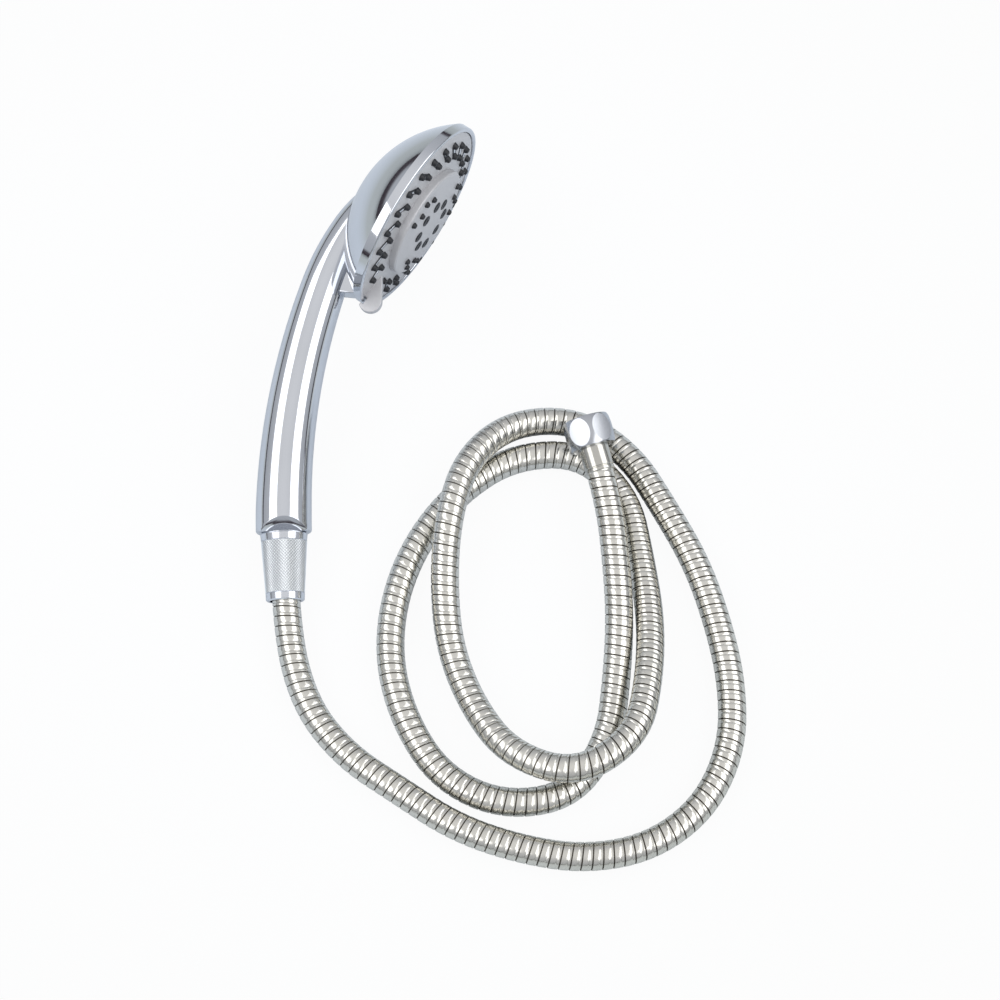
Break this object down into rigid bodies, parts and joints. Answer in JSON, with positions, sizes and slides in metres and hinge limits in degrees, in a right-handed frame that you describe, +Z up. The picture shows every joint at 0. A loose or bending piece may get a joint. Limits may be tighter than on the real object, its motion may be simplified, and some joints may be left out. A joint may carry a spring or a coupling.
{
  "type": "handheld shower head",
  "caption": "Handheld shower head lying on its side, with a lever-turned spray face, a curved chrome handle and a coiled metal hose that ends in a hex nut.",
  "frame": {"origin": "middle of the handset's box, on the floor that it lies on", "axes": "+Z up, +Y along the handset's length from the handle's end towards the head, +X to the right of the pictured view"},
  "size_m": [0.2434, 0.3719, 0.1041],
  "materials": {
    "plated_plastic": "bright chrome plating",
    "satin_plastic": "satin silver plating",
    "nozzle_rubber": "matt",
    "seal_rubber": "matt",
    "white_plastic": "moulded",
    "bare_steel": "plain",
    "brass": "machined",
    "plated_nut": "bright",
    "hose_steel": "polished",
    "liner_plastic": "extruded"
  },
  "bodies": {
    "handset": {"handle_shell": "plated_plastic", "bezel_ring": "plated_plastic", "manifold": "white_plastic", "port_plate": "white_plastic", "port_seals": "seal_rubber", "stop_pin": "bare_steel", "manifold_screws": "bare_steel", "pivot_washer": "bare_steel", "pivot_screw": "bare_steel", "water_tube": "white_plastic", "tube_rings": "seal_rubber", "inlet_connector": "plated_nut", "flow_restrictor": "white_plastic", "inlet_screen": "bare_steel"},
    "selector": {"face_plate": "satin_plastic", "nozzle_mat": "nozzle_rubber", "centre_plate": "satin_plastic", "centre_mat": "nozzle_rubber", "chamber_plate": "white_plastic", "chamber_gasket": "seal_rubber"},
    "hose": {"metal_hose": "hose_steel", "hose_liner": "liner_plastic", "upper_tail": "brass", "lower_tail": "brass", "upper_sleeve": "hose_steel", "lower_sleeve": "hose_steel", "hose_washers": "seal_rubber"},
    "cone_nut": {"cone_nut": "plated_nut"},
    "hex_nut": {"hex_nut": "plated_nut"}
  },
  "joints": [
    {"name": "selector_turn", "type": "hinge", "parent": "handset", "child": "selector", "pos_m": [0.02657, 0.06008, 0.05197], "axis": [0.8337, -0.5518, -0.0209], "range_deg": [-45, 45]},
    {"name": "hose_draw", "type": "slide", "parent": "handset", "child": "hose", "axis": [0.036, -0.9834, -0.1777], "range_m": [0, 0.0071]},
    {"name": "cone_nut_turn", "type": "hinge", "parent": "hose", "child": "cone_nut", "pos_m": [-0.04022, -0.10827, 0.01447], "axis": [0.036, -0.9834, -0.1777], "range_deg": [0, 1404]},
    {"name": "hex_nut_spin", "type": "hinge", "parent": "hose", "child": "hex_nut", "pos_m": [0.11308, -0.05157, 0.0287], "axis": [-0.2762, 0.9449, 0.1758], "continuous": true}
  ],
  "couplings": [
    {"joint": "hose_draw", "follows": "cone_nut_turn", "m_per_rad": 0.00028871}
  ]
}
